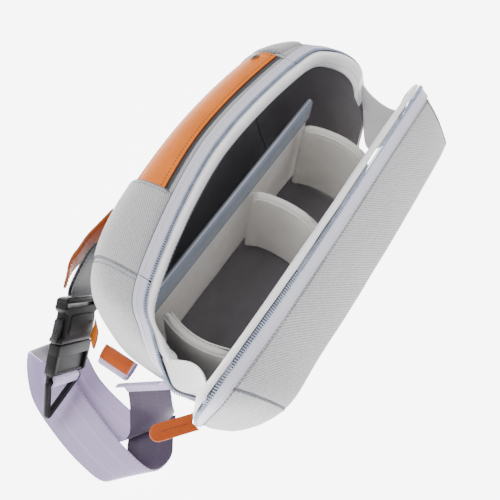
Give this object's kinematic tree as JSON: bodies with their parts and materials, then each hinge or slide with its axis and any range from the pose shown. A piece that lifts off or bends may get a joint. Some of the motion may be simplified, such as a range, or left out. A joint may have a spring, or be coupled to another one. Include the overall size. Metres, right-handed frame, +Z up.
{
  "type": "camera bag",
  "caption": "Soft sling camera bag with an open zipped mouth, padded dividers, leather carry handle, side-release buckle and wide webbing strap.",
  "frame": {"origin": "middle of the base on the surface the bag stands on", "axes": "+X towards the bag's right end seen from the front, +Y to the back with the carry handle, +Z up"},
  "size_m": [0.41, 0.2082, 0.1594],
  "materials": {
    "canvas": "fine diagonal twill, matt",
    "lining": "smooth padded nylon",
    "zip_tape": "woven tape with a nylon coil",
    "divider": "brushed padding",
    "binding": "ribbed binding",
    "leather": "smooth full grain with stitched edges",
    "webbing": "ribbed nylon webbing with a satin sheen",
    "black_webbing": "ribbed nylon webbing",
    "plastic": "moulded, lightly textured",
    "metal": "dark pewter, satin"
  },
  "bodies": {
    "root": {"base_panel": "canvas", "floor_pad": "divider", "left_end_panel": "canvas", "right_end_panel": "canvas", "left_end_lining": "lining", "right_end_lining": "lining", "rear_zip_left": "zip_tape", "rear_zip_right": "zip_tape", "lip_left": "lining", "lip_right": "lining", "slip_divider": "divider", "slip_divider_binding": "binding", "left_gore": "lining", "right_gore": "lining", "sleeve_right": "canvas", "anchor_strap_left": "leather", "anchor_loop_left": "leather", "anchor_loop_right": "leather", "anchor_webbing": "black_webbing", "buckle_socket": "plastic", "strap_front_run": "webbing", "strap_back_run": "webbing", "side_loop": "webbing", "side_loop_patch": "leather", "corner_pull": "leather"},
    "back_half": {"back_panel": "canvas", "rear_top_gusset": "canvas", "back_lining": "lining", "rear_zip_centre": "zip_tape", "lip_centre": "lining", "handle_left_end": "leather", "handle_right_end": "leather", "sleeve_left": "canvas", "handle_rivet": "metal"},
    "front_half": {"front_panel": "canvas", "front_top_gusset": "canvas", "front_left_corner": "canvas", "front_right_corner": "canvas", "front_lining": "lining", "front_zip": "zip_tape", "zip_end_tab": "leather"},
    "handle": {"handle_grip": "leather"},
    "slider": {"zip_slider": "metal"},
    "pull": {"zip_pull": "leather"},
    "divider_left": {"divider_left": "divider"},
    "divider_middle": {"divider_middle": "divider"},
    "divider_right": {"divider_right": "divider"},
    "buckle_plug": {"buckle_plug": "plastic", "adjuster_webbing": "webbing"},
    "prong_near": {"prong_near": "plastic"},
    "prong_far": {"prong_far": "plastic"},
    "pull_ring": {"pull_ring": "plastic"}
  },
  "joints": [
    {"name": "front_open", "type": "hinge", "parent": "root", "child": "front_half", "pos_m": [0, -0.062, 0.004], "axis": [1, 0, 0], "range_deg": [-15.5, 0], "deforming": ["left_gore", "right_gore"]},
    {"name": "back_lean", "type": "hinge", "parent": "root", "child": "back_half", "pos_m": [0, 0.06, 0.004], "axis": [1, 0, 0], "range_deg": [0, 17.46]},
    {"name": "handle_lift", "type": "slide", "parent": "back_half", "child": "handle", "axis": [0, 0.45, 0.893], "range_m": [0, 0.01]},
    {"name": "slider_run", "type": "slide", "parent": "front_half", "child": "slider", "axis": [0, 0, 1], "range_m": [0, 0.02]},
    {"name": "pull_swing", "type": "hinge", "parent": "slider", "child": "pull", "pos_m": [0.1752, -0.036, 0.09], "axis": [0, 1, 0], "range_deg": [-110, 0]},
    {"name": "left_divider_slide", "type": "slide", "parent": "root", "child": "divider_left", "axis": [1, 0, 0], "range_m": [-0.008, 0.012]},
    {"name": "middle_divider_slide", "type": "slide", "parent": "root", "child": "divider_middle", "axis": [1, 0, 0], "range_m": [-0.015, 0.015]},
    {"name": "right_divider_slide", "type": "slide", "parent": "root", "child": "divider_right", "axis": [1, 0, 0], "range_m": [-0.012, 0.012]},
    {"name": "buckle_slide", "type": "slide", "parent": "root", "child": "buckle_plug", "axis": [-0.7819, -0.2939, -0.5497], "range_m": [0, 0.007]},
    {"name": "near_prong_press", "type": "slide", "parent": "buckle_plug", "child": "prong_near", "axis": [0.597, -0.0995, -0.796], "range_m": [0, 0.003], "stiffness_N_per_m": 800},
    {"name": "far_prong_press", "type": "slide", "parent": "buckle_plug", "child": "prong_far", "axis": [-0.597, 0.0995, 0.796], "range_m": [0, 0.003], "stiffness_N_per_m": 800},
    {"name": "ring_swing", "type": "hinge", "parent": "buckle_plug", "child": "pull_ring", "pos_m": [-0.20119, 0.08037, 0.04944], "axis": [0.597, -0.0995, -0.796], "range_deg": [-60, 0]}
  ],
  "couplings": [
    {"joint": "back_lean", "follows": "front_open", "ratio": -1.12}
  ]
}
